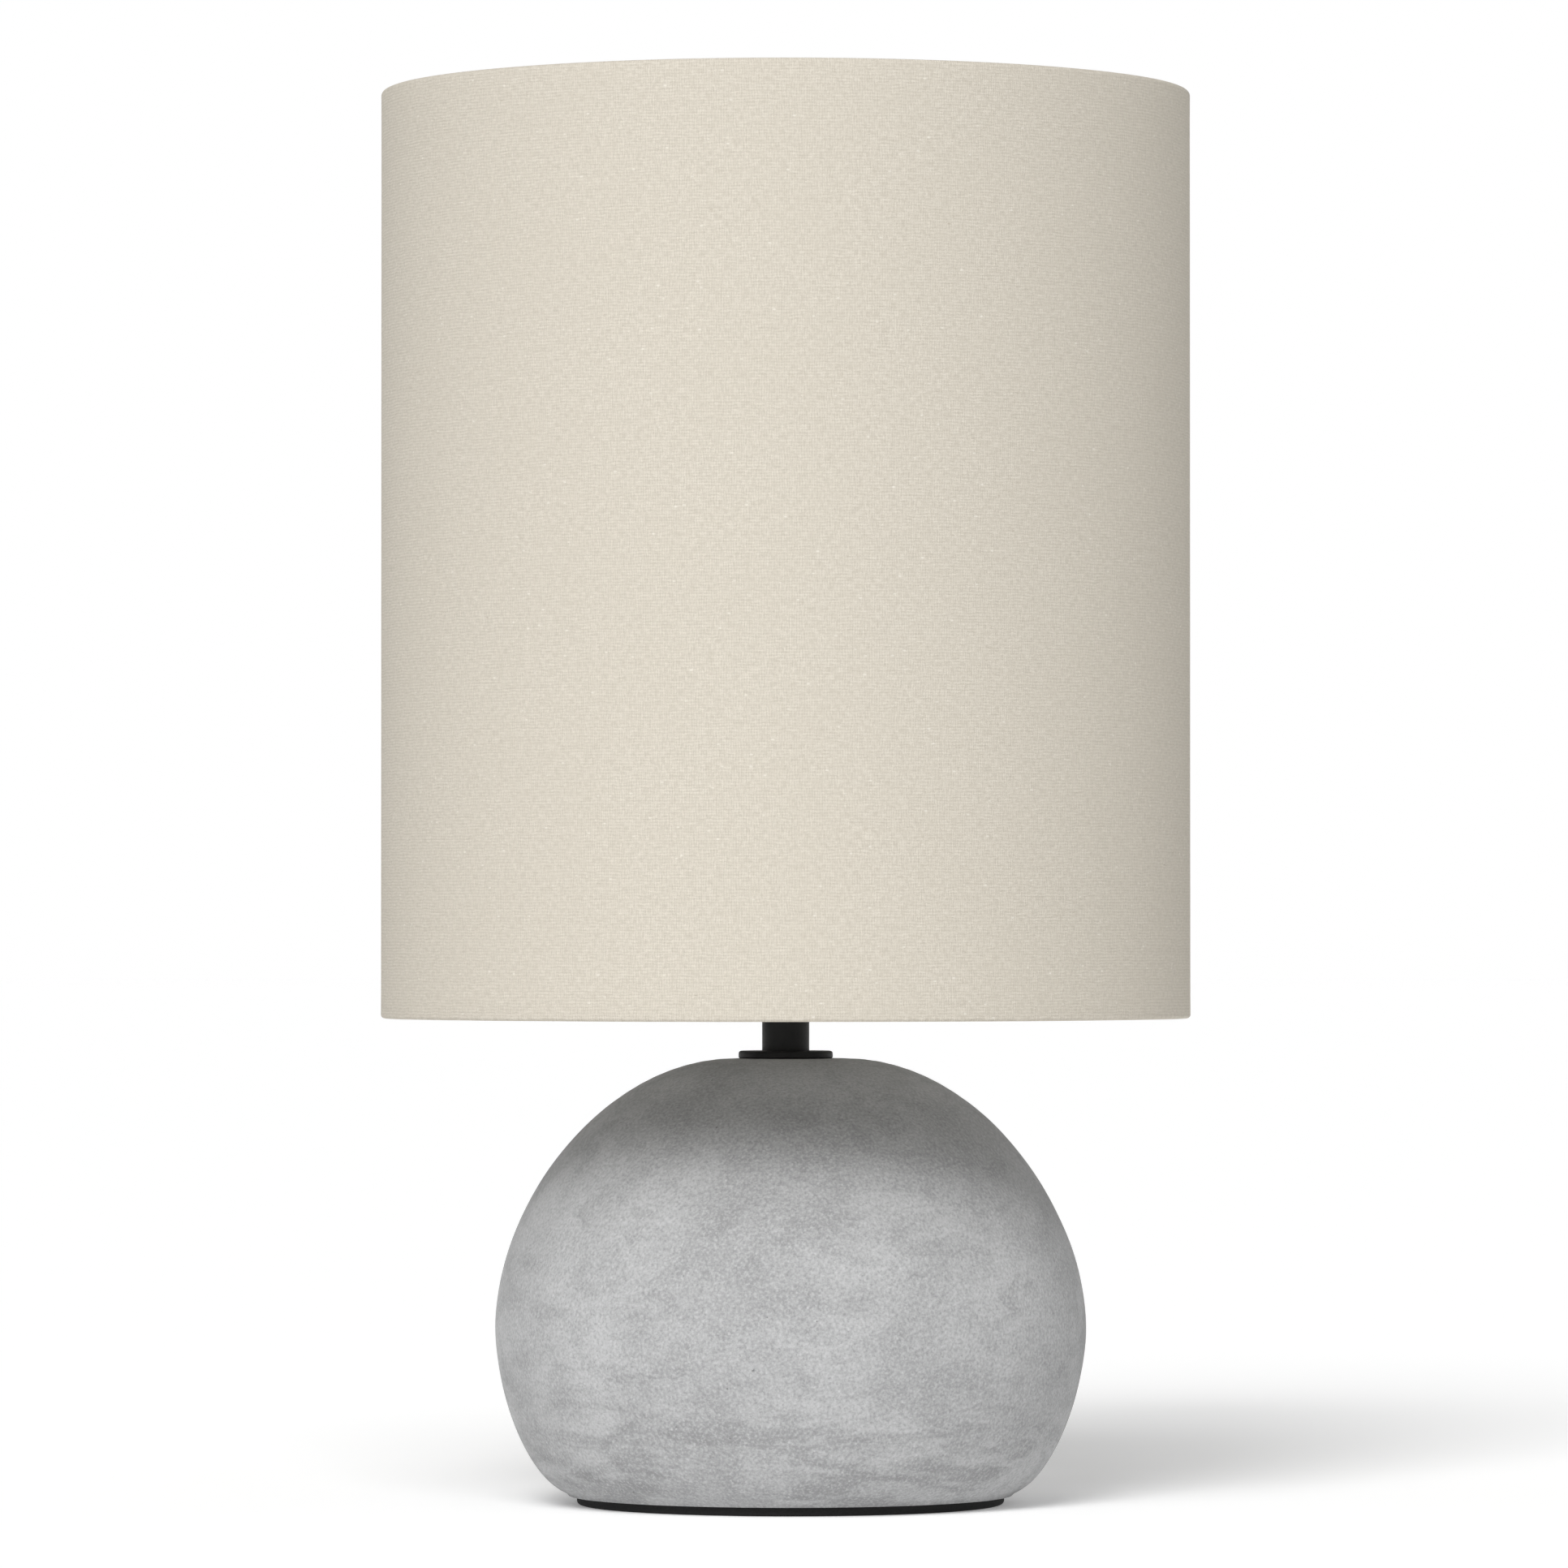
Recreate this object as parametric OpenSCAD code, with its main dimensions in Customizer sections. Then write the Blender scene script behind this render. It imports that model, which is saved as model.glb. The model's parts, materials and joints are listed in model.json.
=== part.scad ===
// Table lamp: a hollow-cast concrete ball base, a short black neck, a turn-key
// lampholder with a screw ring, and a tall fabric drum shade on a three-arm carrier.
// Millimetres, +Z up, front towards -Y. The origin is the centre of the foot, on the table.

/* [Base] */
// Widest diameter of the concrete ball
base_d = 175.8; // [160:0.2:190]
// Height of the concrete, without its pad
base_h = 129.4; // [120:0.1:140]
// Height of the widest girth above the concrete's underside
girth_z = 49.2; // [44:0.2:56]
// Diameter of the concrete's flat underside
foot_d = 133.2; // [124:0.2:140]
// Diameter of the flat on top
crown_d = 33; // [31:1:44]
// Diameter of the black pad under the base
pad_d = 126.8; // [110:0.2:128]
// Thickness of the pad
pad_t = 2.7; // [2:0.1:4]

/* [Neck] */
// Outer diameter of the neck tube
neck_d = 14; // [13:0.5:18]
// Length of the neck tube
neck_h = 21; // [16:0.5:30]
// Diameter of the disc between neck and concrete
check_ring_d = 28; // [24:0.5:36]
// Thickness of that disc
check_ring_t = 2.3; // [1.5:0.1:3]

/* [Shade] */
// Outer diameter of the drum shade
shade_d = 240; // [236:1:260]
// Height of the drum shade
shade_h = 274.7; // [260:0.1:300]
// Length of neck that shows below the shade
neck_show = 9.7; // [6:0.1:12]
// Thickness of the fabric
fabric_t = 0.45; // [0.3:0.05:0.6]
// Thickness of the stiff liner
liner_t = 0.4; // [0.3:0.1:0.6]
// Radius of the wire in the two shade rings
ring_wire_r = 1.5; // [1.2:0.1:1.8]
// Depth of the fabric turned over inside each rim
hem_depth = 12; // [10:0.5:16]

/* [Lampholder] */
// Radius of the lampholder's body
holder_r = 19; // [18.8:0.1:19.2]
// Crest radius of the thread that the shade ring turns on
skirt_crest_r = 19.8; // [19.7:0.05:19.9]
// Radius of the land that the shade's fitter turns round
land_r = 20.4; // [20.3:0.05:20.5]
// Height of the turn key's axis above the lampholder's underside
key_rise = 21; // [19:0.5:22]

/* [Bulb] */
// Radius of the bulb's globe
globe_r = 30; // [28:0.5:31]
// Length of the bulb from contact to crown
bulb_len = 109.5; // [106:0.5:112]

/* [Hidden] */
$fn = 96;
// Radial clearance of the pieces that turn in or on another
running_gap = 0.05;
// Gap between cloth, liner and wire
thin_gap = 0.05;
// How deep a welded or bonded piece sinks into the next, so that they are one solid
weld = 0.05;
// How far a cutting shape runs past the face that it opens
past = 1;

// Heights of the stack, from the table up
body_z0 = pad_t;
body_z1 = body_z0 + base_h;
neck_z0 = body_z1 + check_ring_t;
neck_z1 = neck_z0 + neck_h;
shade_z0 = neck_z0 + neck_show;
shade_z1 = shade_z0 + shade_h;

// Handles of the two curves of the ball's outline
crown_handle = 40.5;
girth_up_handle = 35.3;
girth_down_handle = 14;
foot_handle = [14, 6];
outline_steps = 24;
foot_edge = 0.8;

// Hollow inside the concrete
core_r0 = 44;
core_r1 = 38;
core_z1 = 100;
core_corner = 9;
pipe_hole_r = 6;

// Cord outlet at the back
outlet_z = 15;
outlet_hole_r = 4.7;
outlet_seat_y = 72.5;
outlet_pocket_r = 7;
grommet_r = 4.6;
grommet_bore_r = 3.4;
grommet_len = 16.5;
grommet_flange_r = 6.4;
grommet_flange_t = 1.5;
grommet_mouth = 0.6;

// Threaded pipe and what clamps it
pipe_r = 4.9;
pipe_bore_r = 3.6;
pipe_pitch = 1;
pipe_thread_depth = 0.35;
washer_t = 2;
washer_r = 20;
lock_washer_t = 1.2;
lock_washer_r = 8.3;
nut_t = 5;
nut_flats = 14;
tapped_r = 5;
clear_r = 5.3;
pipe_z0 = core_z1 - washer_t - lock_washer_t - nut_t - 3;
pipe_z1 = neck_z1 + 9;

// Lampholder levels
holder_z0 = neck_z1;
cap_z1 = holder_z0 + 14;
floor_z = cap_z1 + 20;
shoulder_z = cap_z1 + 24.1;
land_z1 = shoulder_z + 1.4;
skirt_z1 = land_z1 + 24;
skirt_bore_r = 16.2;
skirt_root_r = skirt_crest_r - 0.9;
skirt_pitch = 2.5;
shoulder_r = 22.5;
block_r = 16.6;
block_z0 = cap_z1;
set_screw_z = holder_z0 + 2.6;
set_screw_r = 1.2;
cap_boss_r = 9.5;
terminal_y = 11.5;
terminal_r = 1.5;
terminal_len = 6;
key_z = holder_z0 + key_rise;
key_shaft_r = 1.6;
rotor_r = 5;
rotor_x0 = -5;
rotor_x1 = 9;
rotor_bore_x0 = -1;
key_hub_r = 4;
key_x0 = holder_r + 2.2;
key_len = 16;
shaft_x1 = key_x0 + 9;

// Screw shell and bulb cap, whose rolled threads share a pitch
roll_pitch = 3.63;
roll_steps = 8;
shell_r = 13.85;
shell_amp = 0.35;
shell_t = 0.4;
shell_turns = 6;
contact_z1 = floor_z + 3.5;

// Shade ring on the skirt thread
socket_ring_z0 = land_z1 + 0.2;
socket_ring_h = 9;
socket_ring_r = 25;
socket_ring_bore_r = skirt_crest_r + 0.1;
socket_ring_ribs = 24;

// Shade carrier
fitter_t = 1.2;
fitter_z0 = shoulder_z + 0.1;
fitter_r = 30;
arm_r = 1.5;
arm_angles = [60, 180, 300];
arm_tip_r = 25.8;
arm_bend_x = 32;
// Radius at the bend, a touch more than the wire's
arm_knuckle_r = arm_r + 0.05;
// Notches in the lower hem, one over each arm: clearance, inward start, rise and slope
notch_gap = 0.9;
notch_start = 12;
notch_rise = 6.4;
notch_slope = 118;
notch_len = 14;

// Radii through the wall of the shade, from outside in
fabric_mid_r = shade_d / 2 - fabric_t / 2;
liner_r = shade_d / 2 - fabric_t - thin_gap;
flap_mid_r = liner_r - liner_t - thin_gap - fabric_t / 2;
wire_centre_r = liner_r - liner_t - 2 * thin_gap - ring_wire_r;
wire_inset_z = fabric_t + thin_gap + ring_wire_r;
wrap_r = ring_wire_r + thin_gap + fabric_t / 2;
// Bend of the cloth's middle where the wall turns in over the rim
rim_bend_r = 0.8;
// Angle round the wire at which the cloth leaves it for the liner
wrap_end = 215;
wrap_step = 15;
// Drop from the wire's centre to where the flap meets the liner
flap_run = flap_mid_r - wire_centre_r - wrap_r * cos(wrap_end);
flap_drop = flap_run / tan(wrap_end - 180) - wrap_r * sin(wrap_end);

// Bulb levels
bulb_z0 = contact_z1 + 0.1;
bulb_tip_r = 4.5;
bulb_cap_z0 = bulb_z0 + 4.4;
bulb_cap_turns = 5;
bulb_cap_r = 12.55;
bulb_cap_amp = 0.4;
bulb_cap_t = 0.4;
bulb_cap_z1 = bulb_cap_z0 + bulb_cap_turns * roll_pitch + 3;
bulb_neck_r = 13.5;
globe_z = bulb_z0 + bulb_len - globe_r;
globe_cut = 16;
globe_t = 1.2;
globe_rim_r = sqrt(globe_r * globe_r - globe_cut * globe_cut);
globe_rim_z = globe_z - globe_cut;
board_lift = 0.2;
globe_steps = 16;

// ---- Shared curves and profiles -------------------------------------------------------

// Points of a cubic curve with two end points and two handles
function cubic(a, b, c, d, steps) = [
    for (i = [0:steps])
        let (t = i / steps, s = 1 - t)
        s * s * s * a + 3 * s * s * t * b + 3 * s * t * t * c + t * t * t * d
];

// Points of an arc in the half-plane
function arc(centre, r, from, to, step) = [
    for (a = [from:step:to]) centre + r * [cos(a), sin(a)]
];

function reversed(points) = [for (i = [len(points) - 1:-1:0]) points[i]];

// Unit normal, to the left of the way a path runs, at one of its points
function left_normal(path, i) =
    let (
        a = path[max(i - 1, 0)],
        b = path[min(i + 1, len(path) - 1)],
        d = (b - a) / norm(b - a)
    )
    [-d[1], d[0]];

// Outline of a sheet of even thickness that follows a path
function ribbon(path, thickness) = concat(
    [for (i = [0:len(path) - 1]) path[i] + left_normal(path, i) * thickness / 2],
    reversed([for (i = [0:len(path) - 1]) path[i] - left_normal(path, i) * thickness / 2])
);

// A rolled thread drawn as round rings, one for each turn
function rolled(r, amp, z0, turns) = [
    for (i = [0:turns * roll_steps])
        [r - amp * cos(360 * i / roll_steps), z0 + roll_pitch * i / roll_steps]
];

// A cut thread drawn as V rings, from the first root up
function cut_thread(root, crest, pitch, z0, turns) = [
    for (i = [0:turns - 1], side = [0:1])
        side == 0 ? [root, z0 + i * pitch] : [crest, z0 + (i + 0.5) * pitch]
];

module tube(r, bore, z0, z1) {
    translate([0, 0, z0]) difference() {
        cylinder(r = r, h = z1 - z0);
        translate([0, 0, -past]) cylinder(r = bore, h = z1 - z0 + 2 * past);
    }
}

module turned(points) {
    rotate_extrude() polygon(points);
}

// Lays a shape made along +Z down along +X or +Y, from the axis of the lamp
module along_x(z) {
    translate([0, 0, z]) rotate([0, 90, 0]) children();
}

module along_y(z) {
    translate([0, 0, z]) rotate([-90, 0, 0]) children();
}

// ---- Base -----------------------------------------------------------------------------

function ball_outline() =
    let (
        foot = [foot_d / 2, body_z0 + foot_edge],
        girth = [base_d / 2, body_z0 + girth_z],
        crown = [crown_d / 2, body_z1]
    )
    concat(
        [[0, body_z0], [foot_d / 2 - foot_edge, body_z0]],
        cubic(foot, foot + foot_handle, girth - [0, girth_down_handle], girth, outline_steps),
        cubic(girth, girth + [0, girth_up_handle], crown + [crown_handle, 0], crown, outline_steps),
        [[0, body_z1]]
    );

function core_outline() = concat(
    [[0, body_z0 - past], [core_r0, body_z0 - past], [core_r0, body_z0]],
    arc([core_r1 - core_corner, core_z1 - core_corner], core_corner, 0, 90, 15),
    [[0, core_z1]]
);

module base_pad() {
    edge = 1.2;
    color("#1d1d1d") turned(concat(
        [[0, 0]],
        arc([pad_d / 2 - edge, edge], edge, -90, 0, 15),
        [[pad_d / 2, pad_t], [0, pad_t]]
    ));
}

module concrete_body() {
    color("#b4b4b4") difference() {
        turned(ball_outline());
        turned(core_outline());
        translate([0, 0, core_z1 - past]) cylinder(r = pipe_hole_r, h = base_h);
        along_y(outlet_z) translate([0, 0, core_r1 - core_corner]) cylinder(r = outlet_hole_r, h = base_d);
        along_y(outlet_z) translate([0, 0, outlet_seat_y]) cylinder(r = outlet_pocket_r, h = base_d);
    }
}

// A ribbed rubber bush with a rounded flange outside and a bell mouth at both ends
module cord_grommet() {
    rib_r = grommet_r + 0.07;
    rib_pitch = 3;
    rib_half = 0.4;
    lead_in = 1;
    edge = 0.7;
    y0 = outlet_seat_y - grommet_len;
    y1 = outlet_seat_y + grommet_flange_t;
    color("#161616") along_y(outlet_z) turned(concat(
        [[grommet_bore_r + grommet_mouth, y0], [grommet_r - rib_half, y0], [grommet_r, y0 + lead_in]],
        [for (y = [y0 + rib_pitch:rib_pitch:outlet_seat_y - rib_pitch], s = [0:2])
            [s == 1 ? rib_r : grommet_r, y + s * rib_half]],
        [[grommet_r, outlet_seat_y], [grommet_flange_r, outlet_seat_y]],
        arc([grommet_flange_r - edge, y1 - edge], edge, 0, 90, 15),
        [[grommet_bore_r + grommet_mouth, y1], [grommet_bore_r, y1 - grommet_mouth]],
        [[grommet_bore_r, y0 + grommet_mouth]]
    ));
}

module clamp_washer() {
    color("silver") tube(washer_r, clear_r, core_z1 - washer_t, core_z1);
}

module lock_washer() {
    z1 = core_z1 - washer_t;
    slit = 1;
    color("silver") difference() {
        tube(lock_washer_r, clear_r, z1 - lock_washer_t, z1);
        translate([0, -slit / 2, z1 - 2 * lock_washer_t])
            cube([lock_washer_r + past, slit, 3 * lock_washer_t]);
    }
}

module pipe_nut() {
    z1 = core_z1 - washer_t - lock_washer_t;
    corner_r = nut_flats / 2 / cos(30);
    chamfer = 0.6;
    color("silver") difference() {
        intersection() {
            translate([0, 0, z1 - nut_t]) cylinder(r = corner_r, h = nut_t, $fn = 6);
            turned([
                [0, z1 - nut_t], [corner_r - 2 * chamfer, z1 - nut_t], [corner_r, z1 - nut_t + chamfer],
                [corner_r, z1 - chamfer], [corner_r - 2 * chamfer, z1], [0, z1]
            ]);
        }
        translate([0, 0, z1 - nut_t - past]) cylinder(r = tapped_r, h = nut_t + 2 * past);
    }
}

// A pipe with a cut thread at each end and a plain stretch between
module lamp_pipe() {
    root_r = pipe_r - pipe_thread_depth;
    end_land = 0.2;
    run_out = 0.5;
    low_thread_z0 = pipe_z0 + end_land;
    low_turns = 14;
    low_thread_z1 = low_thread_z0 + low_turns * pipe_pitch;
    high_thread_z1 = pipe_z1 - end_land;
    high_turns = 12;
    high_thread_z0 = high_thread_z1 - high_turns * pipe_pitch;
    color("silver") turned(concat(
        [[pipe_bore_r, pipe_z0], [root_r, pipe_z0]],
        cut_thread(root_r, pipe_r, pipe_pitch, low_thread_z0, low_turns),
        [[root_r, low_thread_z1], [pipe_r, low_thread_z1 + run_out]],
        [[pipe_r, high_thread_z0 - run_out]],
        cut_thread(root_r, pipe_r, pipe_pitch, high_thread_z0, high_turns),
        [[root_r, high_thread_z1], [root_r, pipe_z1], [pipe_bore_r, pipe_z1]]
    ));
}

// ---- Neck -----------------------------------------------------------------------------

module check_ring() {
    edge = 0.9;
    low_edge = 0.4;
    r = check_ring_d / 2;
    color("#202020") turned(concat(
        [[clear_r, body_z1], [r - low_edge, body_z1], [r, body_z1 + low_edge]],
        arc([r - edge, neck_z0 - edge], edge, 0, 90, 15),
        [[clear_r, neck_z0]]
    ));
}

module neck_tube() {
    wall = 1;
    color("#202020") tube(neck_d / 2, neck_d / 2 - wall, neck_z0, neck_z1);
}

// ---- Lampholder -----------------------------------------------------------------------

module socket_cap() {
    inner_r = holder_r - 3.4;
    hollow_z = holder_z0 + 7;
    color("#1c1c1c") difference() {
        turned(concat(
            [[tapped_r, holder_z0], [cap_boss_r - 0.5, holder_z0], [cap_boss_r, holder_z0 + 0.5]],
            [[cap_boss_r, holder_z0 + 4.5]],
            cubic([cap_boss_r + 1, holder_z0 + 5.2], [cap_boss_r + 6, holder_z0 + 5.8],
                  [holder_r, holder_z0 + 8], [holder_r, cap_z1 - 2], 10),
            [[holder_r, cap_z1], [inner_r, cap_z1], [inner_r, hollow_z + 3], [inner_r - 3, hollow_z]],
            [[tapped_r, hollow_z]]
        ));
        translate([0, 0, set_screw_z]) rotate([90, 0, 0])
            cylinder(r = set_screw_r + thin_gap, h = cap_boss_r + past);
    }
}

module cap_set_screw() {
    tip_y = pipe_r + 3 * thin_gap;
    length = 4.2;
    slot = 0.5;
    slot_depth = 0.8;
    color("silver") difference() {
        translate([0, -tip_y, set_screw_z]) rotate([90, 0, 0]) cylinder(r = set_screw_r, h = length);
        translate([-2 * set_screw_r, -tip_y - length - past, set_screw_z - slot / 2])
            cube([4 * set_screw_r, slot_depth + past, slot]);
    }
}

module socket_shell() {
    turns = 9;
    thread_z0 = land_z1 + 0.6;
    color("#1c1c1c") difference() {
        turned(concat(
            [[block_r + 0.2, cap_z1], [holder_r, cap_z1], [holder_r, shoulder_z - 5]],
            [[shoulder_r, shoulder_z - 1.8], [shoulder_r, shoulder_z - 0.4], [shoulder_r - 0.4, shoulder_z]],
            [[land_r, shoulder_z], [land_r, land_z1]],
            cut_thread(skirt_root_r, skirt_crest_r, skirt_pitch, thread_z0, turns),
            [[skirt_root_r, thread_z0 + turns * skirt_pitch], [skirt_root_r, skirt_z1 - 0.5]],
            [[skirt_root_r - 0.5, skirt_z1], [skirt_bore_r, skirt_z1]],
            [[skirt_bore_r, floor_z + 2], [block_r + 0.2, floor_z + 0.2]]
        ));
        along_x(key_z) translate([0, 0, block_r - 1]) cylinder(r = key_shaft_r + running_gap, h = 6);
    }
}

// The insulating block, with a pocket that is open below for the rotor and two tapped holes
module switch_block() {
    pocket_r = rotor_r + 0.25;
    pocket_x0 = rotor_x0 - 0.3;
    pocket_len = rotor_x1 - rotor_x0 + 0.6;
    color("#d9d4c6") difference() {
        translate([0, 0, block_z0]) cylinder(r = block_r, h = floor_z - block_z0);
        along_x(key_z) translate([0, 0, pocket_x0]) cylinder(r = pocket_r, h = pocket_len);
        translate([pocket_x0, -pocket_r, block_z0 - past])
            cube([pocket_len, 2 * pocket_r, key_z - block_z0 + past]);
        along_x(key_z) cylinder(r = key_shaft_r + 2 * running_gap, h = block_r + past);
        for (side = [-1, 1])
            translate([0, side * terminal_y, block_z0 - past])
                cylinder(r = terminal_r + thin_gap, h = terminal_len + 1 + past);
    }
}

module terminal_screws() {
    head_r = 3;
    head_t = 1.8;
    slot = 0.8;
    slot_depth = 0.9;
    for (side = [-1, 1])
        color(side < 0 ? "#c9a24a" : "silver") translate([0, side * terminal_y, block_z0]) difference() {
            union() {
                translate([0, 0, -head_t]) cylinder(r = head_r, h = head_t);
                translate([0, 0, -head_t]) cylinder(r = terminal_r, h = head_t + terminal_len);
            }
            translate([-head_r - past, -slot / 2, -head_t - past])
                cube([2 * (head_r + past), slot, slot_depth + past]);
        }
}

// A bent spring leaf, seen from the side in the outline
module centre_contact() {
    t = 0.5;
    width = 6;
    color("#c9a24a") translate([0, width / 2, 0]) rotate([90, 0, 0]) linear_extrude(width) polygon([
        [-7, floor_z], [-2.5, floor_z], [-0.8, contact_z1 - t], [4, contact_z1 - t],
        [4.6, contact_z1 - 2], [5.1, contact_z1 - 2], [4.4, contact_z1],
        [-1.2, contact_z1], [-2.9, floor_z + t], [-7, floor_z + t]
    ]);
}

module screw_shell() {
    wall_z0 = floor_z + 1.2;
    lip_z = wall_z0 + shell_turns * roll_pitch;
    color("#c9a24a") turned(ribbon(concat(
        [[8.2, floor_z + shell_t / 2], [12, floor_z + shell_t / 2], [13.1, floor_z + 0.5]],
        rolled(shell_r, shell_amp, wall_z0, shell_turns),
        [[shell_r + 0.4, lip_z + 1]]
    ), shell_t));
}

// A flanged ring with grip ribs and a countersunk upper mouth
module socket_ring() {
    flange_t = 2;
    flange_r = socket_ring_r + 1.2;
    drum_r = socket_ring_r - 0.6;
    rib_r = 1.1;
    rib_h = socket_ring_h - 0.8;
    mouth = 1.2;
    z1 = socket_ring_z0 + socket_ring_h;
    color("#1c1c1c") difference() {
        union() {
            translate([0, 0, socket_ring_z0]) cylinder(r = flange_r, h = flange_t);
            translate([0, 0, socket_ring_z0]) cylinder(r = drum_r, h = socket_ring_h);
            for (i = [0:socket_ring_ribs - 1])
                rotate(i * 360 / socket_ring_ribs) translate([drum_r, 0, socket_ring_z0])
                    cylinder(r = rib_r, h = rib_h, $fn = 24);
        }
        translate([0, 0, socket_ring_z0 - past])
            cylinder(r = socket_ring_bore_r, h = socket_ring_h + 2 * past);
        translate([0, 0, z1 - 1])
            cylinder(r1 = socket_ring_bore_r - 0.1, r2 = socket_ring_bore_r + mouth, h = mouth);
    }
}

// ---- Turn key -------------------------------------------------------------------------

module switch_shaft() {
    color("silver") along_x(key_z) translate([0, 0, rotor_bore_x0])
        cylinder(r = key_shaft_r, h = shaft_x1 - rotor_bore_x0);
}

module switch_rotor() {
    lobe_t = 4;
    lobe_flats = 1.64 * rotor_r;
    color("#e8e4d8") along_x(key_z) difference() {
        union() {
            translate([0, 0, rotor_x0]) cylinder(r = 3, h = rotor_x1 - rotor_x0);
            for (x = [rotor_x0, rotor_x1 - lobe_t]) translate([0, 0, x]) intersection() {
                cylinder(r = rotor_r, h = lobe_t);
                translate([-lobe_flats / 2, -lobe_flats / 2, 0]) cube([lobe_flats, lobe_flats, lobe_t]);
            }
        }
        translate([0, 0, rotor_bore_x0]) cylinder(r = key_shaft_r, h = rotor_x1 - rotor_bore_x0 + 1);
    }
}

// A flat paddle on a round hub, with its corners rounded
module switch_key() {
    half_w = 7.5;
    t = 3.6;
    corner = 3;
    blade_x0 = 4;
    color("#161616") along_x(key_z) difference() {
        union() {
            translate([0, 0, key_x0]) cylinder(r = key_hub_r, h = 8);
            translate([0, 0, key_x0 + 8]) sphere(r = key_hub_r);
            translate([-t / 2, 0, key_x0]) rotate([0, 90, 0]) linear_extrude(t) union() {
                for (side = [-1, 1], x = [blade_x0 + corner, key_len - corner])
                    translate([-x, side * (half_w - corner)]) circle(r = corner);
                translate([corner - key_len, -half_w]) square([key_len - blade_x0 - 2 * corner, 2 * half_w]);
                translate([-key_len, corner - half_w]) square([key_len - blade_x0, 2 * (half_w - corner)]);
            }
        }
        translate([0, 0, key_x0 - 1]) cylinder(r = key_shaft_r, h = shaft_x1 - key_x0 + 1);
    }
}

// ---- Bulb -----------------------------------------------------------------------------

module bulb_tip() {
    color("silver") turned(concat(
        [[0, bulb_z0]],
        cubic([1, bulb_z0], [3, bulb_z0 + 0.1], [bulb_tip_r, bulb_z0 + 0.6], [bulb_tip_r, bulb_z0 + 1.4], 8),
        [[3, bulb_z0 + 1.4], [3, bulb_z0 + 3], [0, bulb_z0 + 3]]
    ));
}

module bulb_insulator() {
    color("#101010") turned([
        [3, bulb_z0 + 1.4], [5.6, bulb_z0 + 1.4], [9.3, bulb_cap_z0 - 0.1], [9.3, bulb_cap_z0 + 1.6],
        [0, bulb_cap_z0 + 1.6], [0, bulb_z0 + 3], [3, bulb_z0 + 3]
    ]);
}

module bulb_cap() {
    thread_z0 = bulb_cap_z0 + 1.2;
    color("#c4c6c8") turned(ribbon(concat(
        [[9.6, bulb_cap_z0 + bulb_cap_t / 2], [11, bulb_cap_z0 + bulb_cap_t / 2], [11.9, bulb_cap_z0 + 0.7]],
        rolled(bulb_cap_r, bulb_cap_amp, thread_z0, bulb_cap_turns),
        [[bulb_cap_r - 0.2, bulb_cap_z1 - 1.4], [bulb_cap_r + 0.2, bulb_cap_z1 - 1]],
        [[bulb_cap_r + 0.2, bulb_cap_z1]]
    ), bulb_cap_t));
}

module bulb_collar() {
    wall = 1.6;
    skirt_r = bulb_cap_r - 0.1;
    outer = cubic([bulb_neck_r, bulb_cap_z1 + 1.2], [bulb_neck_r + 0.4, bulb_cap_z1 + 14],
                  [globe_rim_r - 8, globe_rim_z - 13], [globe_rim_r, globe_rim_z], 16);
    inner = [for (p = reversed(outer)) p - [wall, 0]];
    color("#f2f2ef") turned(concat(
        [[skirt_r - 1, bulb_cap_z1 + 0.05], [bulb_neck_r - 0.4, bulb_cap_z1 + 0.05]],
        outer,
        inner
    ));
}

// The supply board that stands in the collar, with its coil and capacitor
module bulb_driver() {
    board = [17, 1.2, 26];
    z0 = bulb_cap_z0 + 6;
    color("#2c6b3a") {
        translate([-board[0] / 2, -board[1] / 2, z0]) cube(board);
        translate([-3, board[1] / 2, z0 + 13]) rotate([-90, 0, 0]) cylinder(r = 3.5, h = 6);
        translate([2, -board[1] / 2 - 5, z0 + 5]) cube([6, 5, 7]);
    }
}

// The metal dish that carries the light board and sheds its heat into the collar
module heat_spreader() {
    deck_t = 1.2;
    wall_t = 1;
    depth = 9;
    r = globe_rim_r - 2.3;
    z1 = globe_rim_z + board_lift;
    color("silver") turned([
        [0, z1 - deck_t], [r - wall_t - 1.4, z1 - deck_t], [r - wall_t - 7, z1 - depth],
        [r - 7, z1 - depth], [r, z1 - deck_t], [r, z1], [0, z1]
    ]);
}

module led_board() {
    r = globe_rim_r - 2.6;
    z = globe_rim_z + board_lift;
    board_t = 1.4;
    chip = [2.8, 2.8, 0.7];
    chips = 10;
    color("#fafaf5") {
        translate([0, 0, z]) cylinder(r = r, h = board_t);
        for (i = [0:chips - 1])
            rotate(i * 360 / chips) translate([r * 0.62, -chip[1] / 2, z + board_t - weld]) cube(chip);
    }
}

// Points of the globe's outline at a radius, from its cut rim up to the crown
function globe_arc(r) =
    let (low = -asin(globe_cut / r))
    arc([0, globe_z], r, low, 90, (90 - low) / globe_steps);

module bulb_globe() {
    color("white") turned(concat(globe_arc(globe_r), reversed(globe_arc(globe_r - globe_t))));
}

// ---- Shade ----------------------------------------------------------------------------

// Path of the fabric's middle from the edge of its inner flap, round the wire, to the wall.
// z is the rim's level and up is 1 at the top rim or -1 at the bottom one.
function hem_path(z, up) =
    let (
        wire = [wire_centre_r, z - up * wire_inset_z],
        corner = [fabric_mid_r - rim_bend_r, z - up * (fabric_t / 2 + rim_bend_r)],
        bend = [flap_mid_r, wire[1] - up * flap_drop],
        out = [for (a = [wrap_end:-wrap_step:90]) wire + wrap_r * [cos(a), up * sin(a)]],
        rim = [for (a = [90:-wrap_step:0]) corner + rim_bend_r * [cos(a), up * sin(a)]]
    )
    concat([[flap_mid_r, z - up * hem_depth], bend], out, rim);

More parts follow.
